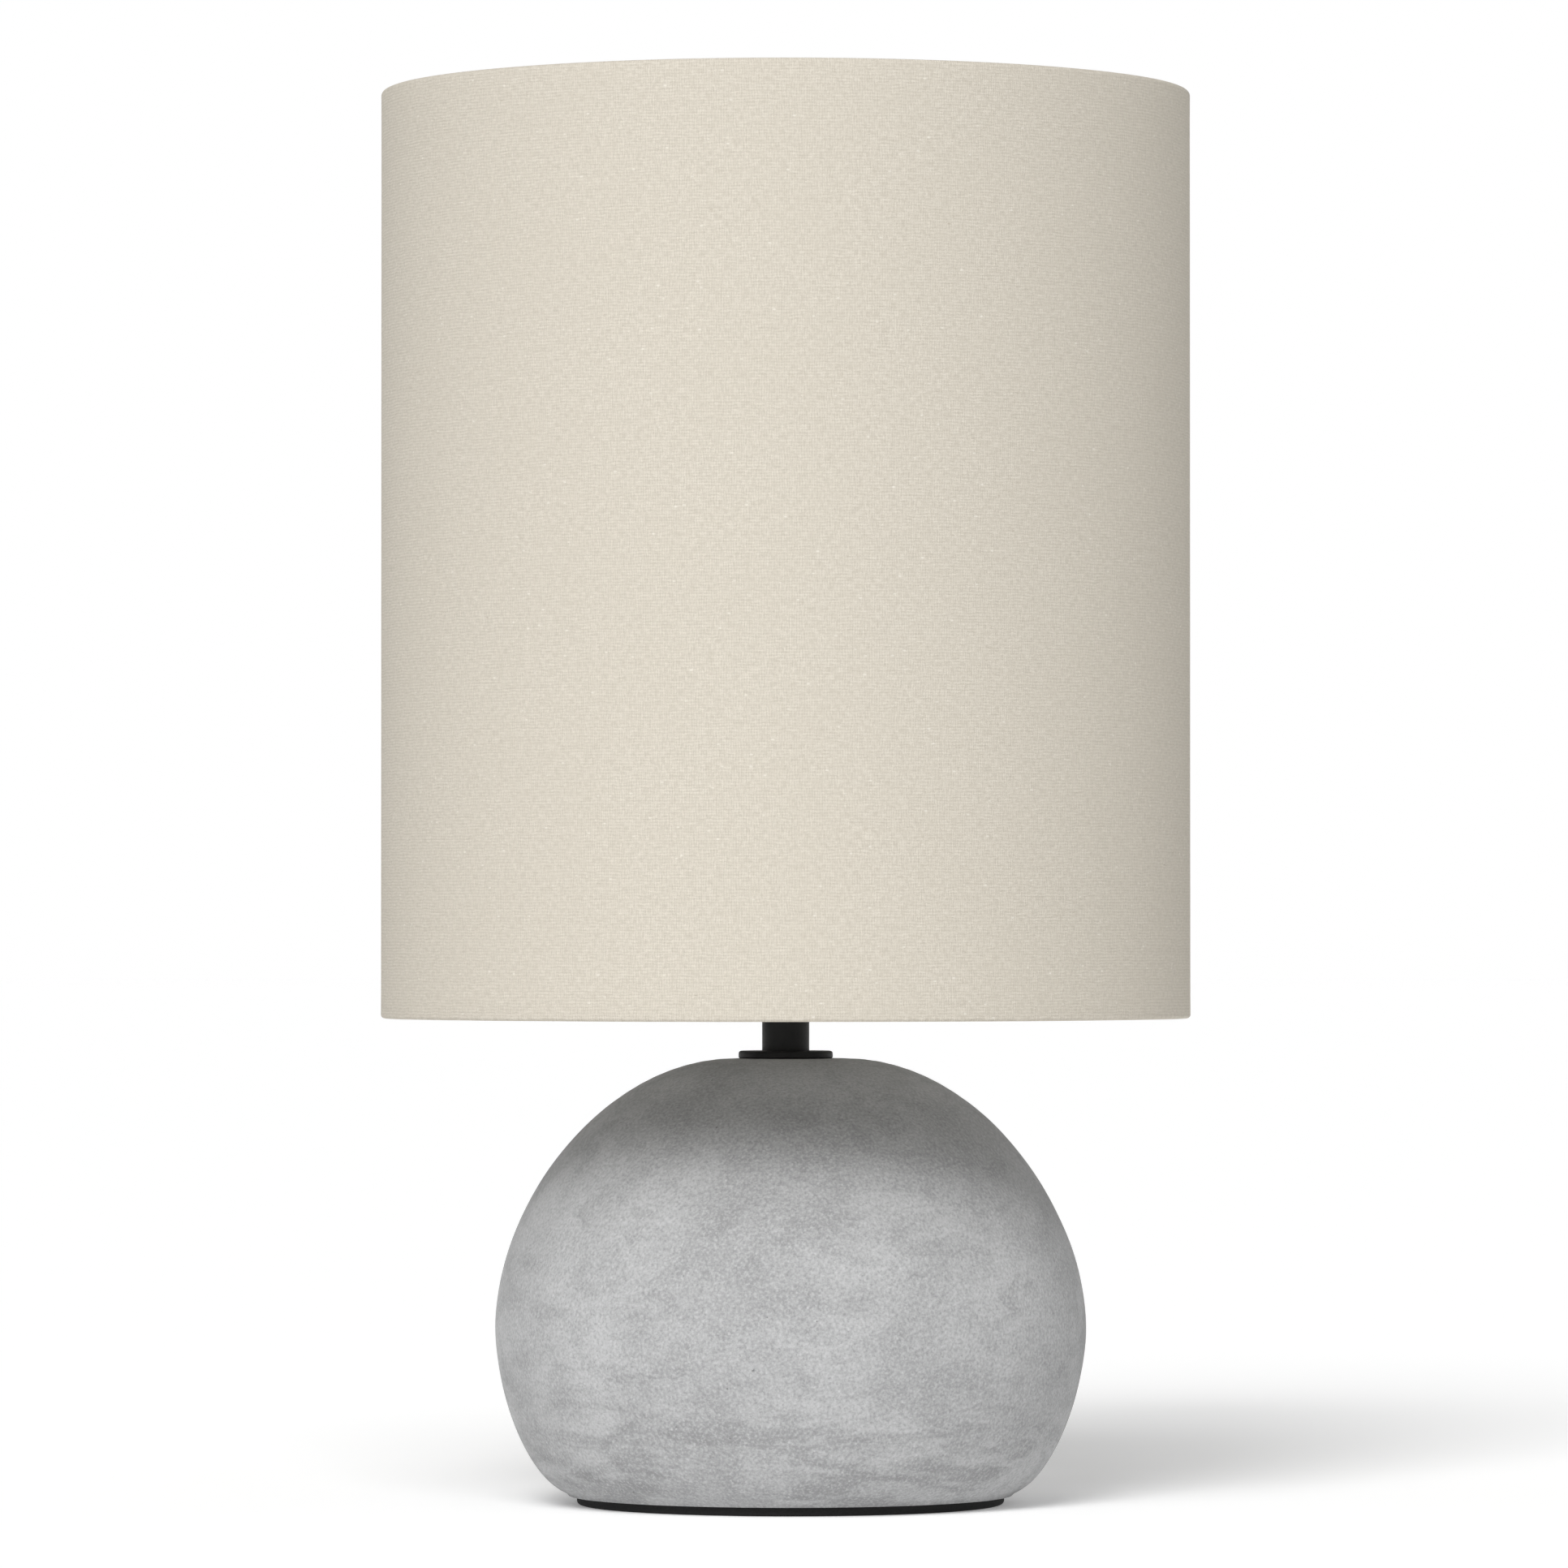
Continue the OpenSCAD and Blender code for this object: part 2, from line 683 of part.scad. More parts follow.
// One arm runs out level under the fitter ring, bends down and ends in the bottom ring
module carrier_arm() {
    z = fitter_z0 - arm_r + weld;
    end = [wire_centre_r - 0.5, shade_z0 + wire_inset_z + 0.1];
    fall = atan2(z - end[1], end[0] - arm_bend_x);
    translate([arm_tip_r, 0, z]) rotate([0, 90, 0]) cylinder(r = arm_r, h = arm_bend_x - arm_tip_r);
    translate([arm_bend_x, 0, z]) sphere(r = arm_knuckle_r);
    translate([arm_bend_x, 0, z]) rotate([0, 90 + fall, 0])
        cylinder(r = arm_r, h = norm(end - [arm_bend_x, z]));
}

module carrier_arms() {
    color("whitesmoke") for (a = arm_angles) rotate(a) carrier_arm();
}

module fitter_ring() {
    color("whitesmoke") tube(fitter_r, land_r + running_gap, fitter_z0, fitter_z0 + fitter_t);
}

module shade_ring(z) {
    color("whitesmoke") rotate_extrude() translate([wire_centre_r, z]) circle(r = ring_wire_r, $fn = 32);
}

module bottom_ring() {
    shade_ring(shade_z0 + wire_inset_z);
}

module top_ring() {
    shade_ring(shade_z1 - wire_inset_z);
}

module shade_liner() {
    margin = 2.2;
    color("white") tube(liner_r, liner_r - liner_t, shade_z0 + margin, shade_z1 - margin);
}

module shade_fabric() {
    color("#ddd5c5") difference() {
        turned(ribbon(concat(hem_path(shade_z0, -1), reversed(hem_path(shade_z1, 1))), fabric_t));
        for (a = arm_angles) rotate(a)
            translate([wire_centre_r - notch_start, 0, shade_z0 + wire_inset_z + notch_rise])
                rotate([0, notch_slope, 0]) cylinder(r = arm_r + notch_gap, h = notch_len);
    }
}

// ---- Nodes ----------------------------------------------------------------------------

base_pad();
concrete_body();
cord_grommet();
clamp_washer();
lock_washer();
pipe_nut();
lamp_pipe();
check_ring();
neck_tube();
socket_cap();
cap_set_screw();
socket_shell();
switch_block();
terminal_screws();
centre_contact();
screw_shell();
socket_ring();
switch_key();
switch_shaft();
switch_rotor();
bulb_tip();
bulb_insulator();
bulb_cap();
bulb_collar();
bulb_driver();
heat_spreader();
led_board();
bulb_globe();
fitter_ring();
carrier_arms();
bottom_ring();
top_ring();
shade_liner();
shade_fabric();
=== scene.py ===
"""Looks for the table lamp: a linen drum shade on a cast concrete ball.

Everything is in metres in the row frame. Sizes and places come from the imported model.
"""

import json
import math
import random

import bmesh
import bpy
import numpy as np
from mathutils import Matrix, Vector, noise


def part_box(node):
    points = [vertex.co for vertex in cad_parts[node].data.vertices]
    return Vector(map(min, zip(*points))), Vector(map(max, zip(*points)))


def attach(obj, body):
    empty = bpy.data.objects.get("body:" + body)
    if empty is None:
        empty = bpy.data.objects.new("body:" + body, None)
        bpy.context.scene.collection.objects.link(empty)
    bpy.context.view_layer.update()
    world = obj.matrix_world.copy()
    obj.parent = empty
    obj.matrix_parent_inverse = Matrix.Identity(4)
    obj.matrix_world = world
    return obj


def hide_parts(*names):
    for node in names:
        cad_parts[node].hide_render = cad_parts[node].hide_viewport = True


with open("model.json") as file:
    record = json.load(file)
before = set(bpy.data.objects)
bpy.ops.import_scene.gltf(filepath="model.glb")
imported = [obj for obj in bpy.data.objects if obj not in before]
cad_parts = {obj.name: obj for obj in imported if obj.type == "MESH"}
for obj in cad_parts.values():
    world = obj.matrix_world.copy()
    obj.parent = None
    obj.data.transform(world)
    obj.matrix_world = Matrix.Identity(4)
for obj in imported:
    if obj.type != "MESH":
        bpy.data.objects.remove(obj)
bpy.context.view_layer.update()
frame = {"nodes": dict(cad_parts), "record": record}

MM = 0.001
TURN = 2 * math.pi
NODES = frame["nodes"]
# Room left between two parts that touch
GAP = 0.05 * MM
# How near two sizes are when they count as the same
CLOSE = 0.05 * MM


# ---- Reading the frame ----------------------------------------------------------------


def ring_radii(node):
    """Distance of every vertex of a CAD node from the lamp's axis, and its height."""
    points = np.array([v.co for v in NODES[node].data.vertices], float)
    return np.hypot(points[:, 0], points[:, 1]), points[:, 2]


def low_high(node):
    """Heights of a CAD node's underside and top."""
    low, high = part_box(node)
    return low.z, high.z


SHADE_LOW, SHADE_HIGH = low_high("shade_fabric")
SHADE_R = ring_radii("shade_fabric")[0].max()
LINER_INNER_R = ring_radii("shade_liner")[0].min()
WIRE_R = (low_high("top_ring")[1] - low_high("top_ring")[0]) / 2
WIRE_CENTRE_R = ring_radii("top_ring")[0].max() - WIRE_R
FOOT_Z, CROWN_Z = low_high("concrete_body")
BALL_R = ring_radii("concrete_body")[0].max()


# ---- Node graphs ----------------------------------------------------------------------

# Places of a Mix node's sockets when it mixes colours
MIX_SHARE, MIX_A, MIX_B, MIX_RESULT = 0, 6, 7, 2


class Look:
    """A material under construction. Most calls add one node and give its output."""

    def __init__(self, name, **constants):
        self.material = bpy.data.materials.new(name)
        self.material.use_nodes = True
        self.tree = self.material.node_tree
        self.shader = self.tree.nodes["Principled BSDF"]
        for socket, value in constants.items():
            self.shader.inputs[socket.replace("_", " ")].default_value = value

    def feed(self, socket, value):
        """Links another node's output to a socket, or sets the socket's own value."""
        if isinstance(value, bpy.types.NodeSocket):
            self.tree.links.new(value, socket)
        else:
            socket.default_value = value

    def put(self, kind, inputs=(), output=0, **settings):
        """Adds a node of any kind, with its settings and what goes into it."""
        made = self.tree.nodes.new("ShaderNode" + kind)
        for name, value in settings.items():
            setattr(made, name, value)
        for socket, value in dict(inputs).items():
            self.feed(made.inputs[socket], value)
        return made.outputs[output]

    def place(self):
        """Position on the piece, in metres."""
        return self.put("TexCoord", output="Object")

    def stretched(self, place, x=1.0, y=1.0, z=1.0):
        """A place whose features come out longer along each axis with a factor under 1."""
        return self.put("Mapping", {"Vector": place, "Scale": (x, y, z)})

    def math(self, operation, a, b=0.0):
        return self.put("Math", {0: a, 1: b}, operation=operation)

    def noise(self, place, size, detail=2.0, roughness=0.5, distortion=0.0):
        """Soft noise whose features are about this many metres across."""
        inputs = {
            "Vector": place,
            "Scale": 1 / size,
            "Detail": detail,
            "Roughness": roughness,
            "Distortion": distortion,
        }
        return self.put("TexNoise", inputs, output="Fac")

    def cells(self, place, size):
        """Distance from scattered points that are about this many metres apart."""
        return self.put("TexVoronoi", {"Vector": place, "Scale": 1 / size}, output="Distance")

    def span(self, value, low, high, to_low=0.0, to_high=1.0):
        """Stretches low..high to to_low..to_high and holds the ends."""
        inputs = {"Value": value, "From Min": low, "From Max": high, "To Min": to_low, "To Max": to_high}
        return self.put("MapRange", inputs, clamp=True)

    def mix(self, share, a, b):
        """Colour b over colour a, by share."""
        inputs = {MIX_SHARE: share, MIX_A: a, MIX_B: b}
        return self.put("Mix", inputs, output=MIX_RESULT, data_type="RGBA")

    def colour(self, value):
        self.tree.links.new(value, self.shader.inputs["Base Color"])

    def roughness(self, value):
        self.tree.links.new(value, self.shader.inputs["Roughness"])

    def relief(self, height, depth):
        """Bumps the surface by a height of 0 to 1 times a depth in metres."""
        bump = self.put("Bump", {"Height": height, "Distance": depth, "Strength": 1.0}, output="Normal")
        self.tree.links.new(bump, self.shader.inputs["Normal"])


def rgb(r, g, b):
    return (r, g, b, 1.0)


def grey(value):
    return rgb(value, value, value)


def cast_grey(value):
    """Concrete's grey: a trace cool."""
    return rgb(0.994 * value, value, 1.008 * value)


# ---- Materials ------------------------------------------------------------------------


def linen():
    """Plain-weave cloth with uneven threads, slubs and a few dark flecks."""
    warp_pitch = 0.72 * MM
    weft_pitch = 0.88 * MM
    look = Look("linen", Sheen_Weight=0.02, Sheen_Roughness=0.5, Specular_IOR_Level=0.12)
    uv = look.put("UVMap", uv_map="cloth", output="UV")
    across = look.put("SeparateXYZ", {0: uv}, output="X")
    up = look.put("SeparateXYZ", {0: uv}, output="Y")
    wander = look.math("SUBTRACT", look.noise(uv, 6 * MM, detail=2), 0.5)

    def threads(along, pitch):
        """A wave that crosses zero between each thread and the next."""
        bent = look.math("ADD", along, look.math("MULTIPLY", wander, 1.0 * MM))
        return look.math("SINE", look.math("MULTIPLY", bent, math.pi / pitch))

    def thread_height(own, other, over):
        """Rounded threads, each over and under the others in turn."""
        side = look.math("MULTIPLY", look.math("SIGN", own), other)
        lift = look.math("ADD", look.math("MULTIPLY", side, over), 0.5)
        return look.math("MULTIPLY", look.math("ABSOLUTE", own), lift)

    warp = threads(across, warp_pitch)
    weft = threads(up, weft_pitch)
    weave = look.math("MAXIMUM", thread_height(warp, weft, 0.5), thread_height(weft, warp, -0.5))

    warp_slubs = look.noise(look.stretched(uv, y=0.2), warp_pitch * 0.6, detail=1, roughness=0.6)
    weft_slubs = look.noise(look.stretched(uv, x=0.2), weft_pitch * 0.6, detail=1, roughness=0.6)
    warp_part = look.math("MULTIPLY", warp_slubs, 0.55)
    weft_part = look.math("MULTIPLY", weft_slubs, 0.45)
    slubs = look.math("ADD", warp_part, weft_part)
    clouds = look.noise(look.stretched(uv, y=0.7), 22 * MM, detail=4, roughness=0.55)
    fuzz = look.noise(uv, 0.4 * MM, detail=2, roughness=0.6)

    tone = look.mix(look.span(slubs, 0.38, 0.62), rgb(0.56, 0.517, 0.445), rgb(0.695, 0.65, 0.57))
    tone = look.mix(look.span(clouds, 0.35, 0.65, 0.0, 0.2), tone, rgb(0.6, 0.555, 0.475))
    # Darker where the weave is low: painted shade in the hollows between the threads
    tone = look.mix(look.span(weave, 0.06, 0.6, 0.4, 0.0), tone, rgb(0.4, 0.363, 0.302))
    tone = look.mix(look.span(fuzz, 0.3, 0.7, 0.34, 0.0), tone, rgb(0.42, 0.383, 0.32))
    lint = look.cells(look.stretched(uv, x=0.7, y=1.3), 4.5 * MM)
    tone = look.mix(look.span(lint, 0.05, 0.1, 0.5, 0.0), tone, rgb(0.8, 0.77, 0.7))
    fleck = look.cells(look.stretched(uv, x=0.4, y=1.2), 10 * MM)
    flecks = look.span(fleck, 0.012, 0.03, 0.4, 0.0)
    look.colour(look.mix(flecks, tone, rgb(0.3, 0.245, 0.18)))
    look.roughness(look.span(fuzz, 0.3, 0.7, 0.8, 0.95))
    uneven_weave = look.math("ADD", weave, look.math("MULTIPLY", slubs, 0.8))
    look.relief(look.math("ADD", uneven_weave, look.math("MULTIPLY", fuzz, 0.5)), 0.1 * MM)
    return look.material


def concrete():
    """Fine cast concrete: soft sandy grain, cloudy patches, broken level streaks and pinholes. The streaks
    are made darker towards the foot as painted shade, and the pinholes are painted dark as shade in them.
    """
    look = Look("concrete", Specular_IOR_Level=0.3, Sheen_Weight=0.1, Sheen_Roughness=0.6)
    place = look.place()
    clouds = look.noise(place, 36 * MM, detail=5, roughness=0.55, distortion=0.5)
    patches = look.noise(look.stretched(place, z=1.7), 16 * MM, detail=5, roughness=0.58, distortion=0.7)
    streaks = look.noise(look.stretched(place, z=5.0), 30 * MM, detail=5, roughness=0.62, distortion=0.5)
    grain = look.noise(place, 0.9 * MM, detail=2, roughness=0.7)
    sand = look.cells(place, 3.1 * MM)
    height = look.put("SeparateXYZ", {0: place}, output="Z")
    near_foot = look.span(height, FOOT_Z + 8 * MM, FOOT_Z + 52 * MM, 1.0, 0.0)

    tone = look.mix(look.span(clouds, 0.34, 0.66), cast_grey(0.348), cast_grey(0.447))
    tone = look.mix(look.span(patches, 0.46, 0.66, 0.0, 0.5), tone, cast_grey(0.27))
    # Level streaks that darken towards the foot: casting streaks, made stronger low down as painted shade
    # on the ball's lower part
    low_streaks_and_shade = look.math("MULTIPLY", look.span(streaks, 0.48, 0.6, 0.0, 0.65), near_foot)
    tone = look.mix(low_streaks_and_shade, tone, cast_grey(0.23))
    tone = look.mix(look.span(grain, 0.5, 0.74, 0.0, 0.55), tone, cast_grey(0.58))
    tone = look.mix(look.span(grain, 0.26, 0.5, 0.55, 0.0), tone, cast_grey(0.2))
    tone = look.mix(look.span(sand, 0.05, 0.15, 0.4, 0.0), tone, cast_grey(0.62))
    # Pinholes painted near black: painted shade inside each small hole, which the relief below also dents
    pinholes = look.span(look.cells(place, 8.5 * MM), 0.018, 0.036, 1.0, 0.0)
    tone = look.mix(look.math("MULTIPLY", pinholes, 0.6), tone, cast_grey(0.1))
    look.colour(tone)
    look.roughness(look.span(patches, 0.3, 0.7, 0.72, 0.9))
    look.relief(look.math("SUBTRACT", grain, pinholes), 0.08 * MM)
    return look.material


def coated_metal(name, dark, pale, rough, gloss=0.5):
    """Powder coat or enamel: a fine orange-peel skin over metal, uneven in tone."""
    look = Look(name, Specular_IOR_Level=gloss)
    place = look.place()
    peel = look.noise(place, 0.45 * MM, detail=3, roughness=0.6)
    cloud = look.noise(place, 7 * MM, detail=3)
    look.colour(look.mix(look.span(cloud, 0.3, 0.7), dark, pale))
    look.roughness(look.span(peel, 0.3, 0.7, rough - 0.07, rough + 0.1))
    look.relief(peel, 0.035 * MM)
    return look.material


def bare_metal(name, dark, pale, rough, grain=(1.0, 1.0, 14.0)):
    """Bright metal with fine drawn marks along one direction and a dull cast in patches."""
    look = Look(name, Metallic=1.0)
    place = look.place()
    marks = look.noise(look.stretched(place, *grain), 1.6 * MM, detail=4, roughness=0.7)
    tarnish = look.noise(place, 5 * MM, detail=3)
    look.colour(look.mix(look.span(tarnish, 0.3, 0.7), dark, pale))
    look.roughness(look.span(marks, 0.3, 0.7, rough - 0.08, rough + 0.12))
    look.relief(marks, 0.012 * MM)
    return look.material


def moulded(name, dark, pale, rough, **constants):
    """Moulded plastic, rubber or glass: faint flow clouds and a fine mould texture."""
    look = Look(name, **constants)
    place = look.place()
    flow = look.noise(look.stretched(place, z=0.45), 9 * MM, detail=3, distortion=0.8)
    skin = look.noise(place, 0.35 * MM, detail=2)
    look.colour(look.mix(look.span(flow, 0.3, 0.7), dark, pale))
    look.roughness(look.span(skin, 0.3, 0.7, rough - 0.05, rough + 0.09))
    look.relief(skin, 0.02 * MM)
    return look.material


def foam():
    """Closed-cell foam: small shallow cells all over a dull black skin."""
    look = Look("foam_pad", Specular_IOR_Level=0.25)
    place = look.place()
    cells = look.cells(place, 0.7 * MM)
    look.colour(look.mix(look.span(cells, 0.1, 0.6), grey(0.011), grey(0.02)))
    look.roughness(look.span(cells, 0.1, 0.6, 0.72, 0.9))
    look.relief(cells, 0.06 * MM)
    return look.material


def liner_film():
    """White film with the cloth's threads showing faintly through it."""
    look = Look("liner_film", Specular_IOR_Level=0.4)
    place = look.place()
    telegraph = look.noise(place, 1.1 * MM, detail=2)
    ripple = look.noise(look.stretched(place, z=0.3), 30 * MM, detail=3)
    look.colour(look.mix(look.span(ripple, 0.3, 0.7), rgb(0.74, 0.725, 0.68), rgb(0.8, 0.785, 0.745)))
    look.roughness(look.span(telegraph, 0.3, 0.7, 0.38, 0.5))
    look.relief(look.math("ADD", telegraph, look.math("MULTIPLY", ripple, 2.0)), 0.03 * MM)
    return look.material


MATERIALS = {
    "linen": linen(),
    "concrete": concrete(),
    "foam_pad": foam(),
    "black_rubber": moulded("black_rubber", grey(0.014), grey(0.024), 0.6, Specular_IOR_Level=0.3),
    "black_metal": coated_metal("black_metal", grey(0.0065), grey(0.0135), 0.48, gloss=0.22),
    "white_wire": coated_metal("white_wire", grey(0.7), grey(0.78), 0.36),
    "zinc_steel": bare_metal("zinc_steel", rgb(0.5, 0.51, 0.53), rgb(0.62, 0.62, 0.61), 0.34),
    "contact_brass": bare_metal("contact_brass", rgb(0.66, 0.46, 0.17), rgb(0.8, 0.6, 0.27), 0.28),
    "solder": bare_metal("solder", grey(0.42), grey(0.58), 0.38, (1, 1, 1)),
    "bulb_metal": bare_metal("bulb_metal", rgb(0.62, 0.63, 0.64), rgb(0.76, 0.77, 0.78), 0.26),
    "black_phenolic": moulded("black_phenolic", grey(0.011), rgb(0.021, 0.018, 0.016), 0.24),
    "cream_phenolic": moulded("cream_phenolic", rgb(0.6, 0.54, 0.41), rgb(0.68, 0.62, 0.5), 0.42),
    "black_glass": moulded("black_glass", grey(0.008), rgb(0.013, 0.012, 0.02), 0.1),
    "bulb_plastic": moulded("bulb_plastic", grey(0.74), grey(0.79), 0.3),
    "circuit_board": moulded("circuit_board", rgb(0.02, 0.12, 0.045), rgb(0.035, 0.17, 0.07), 0.34),
    "led_white": moulded("led_white", rgb(0.74, 0.74, 0.7), rgb(0.82, 0.82, 0.78), 0.35),
    "diffuser": moulded("diffuser", rgb(0.79, 0.785, 0.765), rgb(0.84, 0.835, 0.815), 0.3),
    "liner_film": liner_film(),
}


# ---- Mesh helpers ---------------------------------------------------------------------


def add_object(name, data):
    """A new object in the scene."""
    made = bpy.data.objects.new(name, data)
    bpy.context.scene.collection.objects.link(made)
    return made


def piece_from(name, vertices, faces, body, slot, replaces=()):
    """A smooth-shaded piece that rides on a body and takes its slot's material."""
    mesh = bpy.data.meshes.new(name)
    mesh.from_pydata([tuple(v) for v in vertices], [], faces)
    mesh.polygons.foreach_set("use_smooth", [True] * len(mesh.polygons))
    mesh.materials.append(MATERIALS[slot])
    piece = add_object(name, mesh)
    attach(piece, body)
    if replaces:
        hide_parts(*replaces)
    return piece


def apply_modifiers(piece):
    """Bakes a piece's modifiers into its own mesh."""
    depsgraph = bpy.context.evaluated_depsgraph_get()
    mesh = bpy.data.meshes.new_from_object(piece.evaluated_get(depsgraph), depsgraph=depsgraph)
    piece.modifiers.clear()
    piece.data = mesh


def ring_faces(rows, columns):
    """Faces of a grid that is closed both ways."""
    faces = []
    for row in range(rows):
        above = (row + 1) % rows
        for column in range(columns):
            after = (column + 1) % columns
            faces.append((
                row * columns + column, row * columns + after,
                above * columns + after, above * columns + column,
            ))
    return faces


def revolve(name, profile, columns, body, slot, replaces, shape):
    """A closed solid turned from a closed profile of (radius, height) that runs anticlockwise.

    shape(radius, angle, height, index) gives the place of each of the profile's points."""
    vertices = []
    for index, (r, z) in enumerate(profile):
        for column in range(columns):
            vertices.append(shape(r, TURN * column / columns, z, index))
    return piece_from(name, vertices, ring_faces(len(profile), columns), body, slot, replaces)


def arc(centre_r, centre_z, radius, start, end, steps):
    """Points of a circle's arc in the (radius, height) plane, angles in degrees."""
    angles = [math.radians(start + (end - start) * i / steps) for i in range(steps + 1)]
    return [(centre_r + radius * math.cos(a), centre_z + radius * math.sin(a)) for a in angles]


def smooth_line(points, count):
    """A smooth curve through the points, evenly divided into count points."""
    points = np.array(points, float)
    steps = np.hypot(*np.diff(points, axis=0).T)
    at = np.concatenate([[0], np.cumsum(steps)])
    slopes = np.gradient(points, at, axis=0)
    wanted = np.linspace(0, at[-1], count)
    i = np.clip(np.searchsorted(at, wanted, side="right") - 1, 0, len(points) - 2)
    span = (at[i + 1] - at[i])[:, None]
    t = (wanted - at[i])[:, None] / span
    a, b = points[i], points[i + 1]
    slope_a, slope_b = slopes[i] * span, slopes[i + 1] * span
    return (
        (2 * t**3 - 3 * t**2 + 1) * a + (t**3 - 2 * t**2 + t) * slope_a
        + (3 * t**2 - 2 * t**3) * b + (t**3 - t**2) * slope_b
    )


def path_lengths(path):
    """Distance along a path from its start to each of its points."""
    steps = np.hypot(*np.diff(np.array(path), axis=0).T)
    return np.concatenate([[0], np.cumsum(steps)])


def path_normals(path):
    """Unit normals on the right of a path, which is outside where the path goes up."""
    path = np.array(path)
    along = np.gradient(path, axis=0)
    along /= np.hypot(along[:, 0], along[:, 1])[:, None]
    return np.stack([along[:, 1], -along[:, 0]], axis=1)


def swell(x, y, z, size, seed):
    """Smooth noise from -1 to 1 that is the same on every run."""
    return noise.noise(Vector((x / size + seed, y / size - seed, z / size + 2 * seed)))


# ---- Shade cloth ----------------------------------------------------------------------

CLOTH_T = 0.45 * MM
HEM_DEPTH = 12 * MM
RIM_BEND_R = 0.8 * MM
# How far round the wire the cloth turns, in degrees from straight out
WRAP_END = 215
# The lap seam at the back: how much the ends overlap, and over how many columns one rises
OVERLAP = 12 * MM
SEAM_ANGLE = math.radians(90)
LAP_RAMP = 5
# The slits for the carrier's wires, in columns to each side and rows past the turn
ARM_ANGLES = [60, 180, 300]
ARM_SLIT_COLUMNS = 2
ARM_SLIT_ROWS = 9
# What the wires and the hems press out: how far from the rim, how wide and how high
RING_MARK = (2.2 * MM, 1.3 * MM, 0.08 * MM)
HEM_MARK = (HEM_DEPTH, 1.6 * MM, 0.05 * MM)
# Slight ripples in the cloth: the height, size and seed of each
LONG_RIPPLE = (0.08 * MM, 0.07, 3.1)
FINE_RIPPLE = (0.03 * MM, 0.018, 8.4)
WALL_STEPS = 36
CLOTH_COLUMNS = 720


def cloth_path():
    """The cloth's middle from the flap in the bottom rim, up the wall, to the flap in the top."""
    wall_r = SHADE_R - CLOTH_T / 2
    flap_r = LINER_INNER_R - GAP - CLOTH_T / 2
    wrap_r = WIRE_R + GAP + CLOTH_T / 2
    wire_inset = WIRE_R + GAP + CLOTH_T
    leaving = math.radians(WRAP_END - 180)
    run = flap_r - WIRE_CENTRE_R + wrap_r * math.cos(leaving)
    drop = run / math.tan(leaving)

    def rim(z, up):
        """From the flap's free edge round the wire, level across the rim and down to the wall."""
        wire_z = z - up * wire_inset
        bend_z = wire_z - up * (wrap_r * math.sin(leaving) + drop)
        free_z = z - up * HEM_DEPTH
        flap = [(flap_r, free_z + (bend_z - free_z) * i / 4) for i in range(5)]
        slope = [(flap_r - run * i / 4, bend_z + up * drop * i / 4) for i in range(1, 4)]
        wrap = arc(WIRE_CENTRE_R, wire_z, wrap_r, up * WRAP_END, up * 90, 10)
        corner_z = z - up * (CLOTH_T / 2 + RIM_BEND_R)
        corner = arc(wall_r - RIM_BEND_R, corner_z, RIM_BEND_R, up * 90, 0, 6)
        return flap + slope + wrap + corner

    bottom = rim(SHADE_LOW, -1)
    top = rim(SHADE_HIGH, 1)
    z0, z1 = bottom[-1][1], top[-1][1]
    wall = [(wall_r, z0 + (z1 - z0) * i / WALL_STEPS) for i in range(1, WALL_STEPS)]
    return bottom + wall + top[::-1]


def cloth_stand_off(z, angle, radius):
    """How far the cloth stands off its path: slight ripples and the marks of the two rings."""
    x, y = radius * math.cos(angle), radius * math.sin(angle)
    off = 0.0
    for (height, size, seed), upright in ((LONG_RIPPLE, 0.35), (FINE_RIPPLE, 1.0)):
        off += height * (0.5 + 0.5 * swell(x, y, z * upright, size, seed))
    from_rim = min(z - SHADE_LOW, SHADE_HIGH - z)
    for place, width, height in (RING_MARK, HEM_MARK):
        off += height * math.exp(-((from_rim - place) / width) ** 2)
    return off


def cloth():
    """One sheet from hem to hem, lapped at the back and slit where the three wires come through."""
    path = cloth_path()
    normals = path_normals(path)
    lengths = path_lengths(path)
    rows = len(path)
    wall_r = SHADE_R - CLOTH_T / 2
    pitch = TURN / CLOTH_COLUMNS
    extra = round(OVERLAP / (pitch * wall_r))
    columns = CLOTH_COLUMNS + extra + 1
    start = SEAM_ANGLE - extra * pitch / 2
    arms = [round((math.radians(a) - start) % TURN / pitch) for a in ARM_ANGLES]
    slit_end = ARM_SLIT_ROWS + next(row for row, (r, z) in enumerate(path) if r < WIRE_CENTRE_R)

    vertices, uvs = [], []
    for row, (r, z) in enumerate(path):
        for column in range(columns):
            angle = start + column * pitch
            lap = min(max((column - CLOTH_COLUMNS + LAP_RAMP) / LAP_RAMP, 0), 1)
            off = cloth_stand_off(z, angle, r) + lap * (CLOTH_T + GAP)
            out_r, out_z = r + normals[row][0] * off, z + normals[row][1] * off
            vertices.append((out_r * math.cos(angle), out_r * math.sin(angle), out_z))
            uvs.append((column * pitch * wall_r, lengths[row]))

    faces = []
    for row in range(rows - 1):
        for column in range(columns - 1):
            near_arm = any(-ARM_SLIT_COLUMNS <= column - arm < ARM_SLIT_COLUMNS for arm in arms)
            if near_arm and row < slit_end:
                continue
            a = row * columns + column
            faces.append((a, a + 1, a + columns + 1, a + columns))
    piece = piece_from("shade_cloth", vertices, faces, "shade", "linen", ["shade_fabric"])
    layer = piece.data.uv_layers.new(name="cloth")
    corners = np.empty(len(piece.data.loops), np.int32)
    piece.data.loops.foreach_get("vertex_index", corners)
    layer.data.foreach_set("uv", np.array(uvs, np.float32)[corners].ravel())
    thick = piece.modifiers.new("thickness", "SOLIDIFY")
    thick.thickness = CLOTH_T
    thick.offset = 0
    apply_modifiers(piece)


# ---- Concrete ball --------------------------------------------------------------------

BALL_COLUMNS = 480
BALL_ROWS = 150
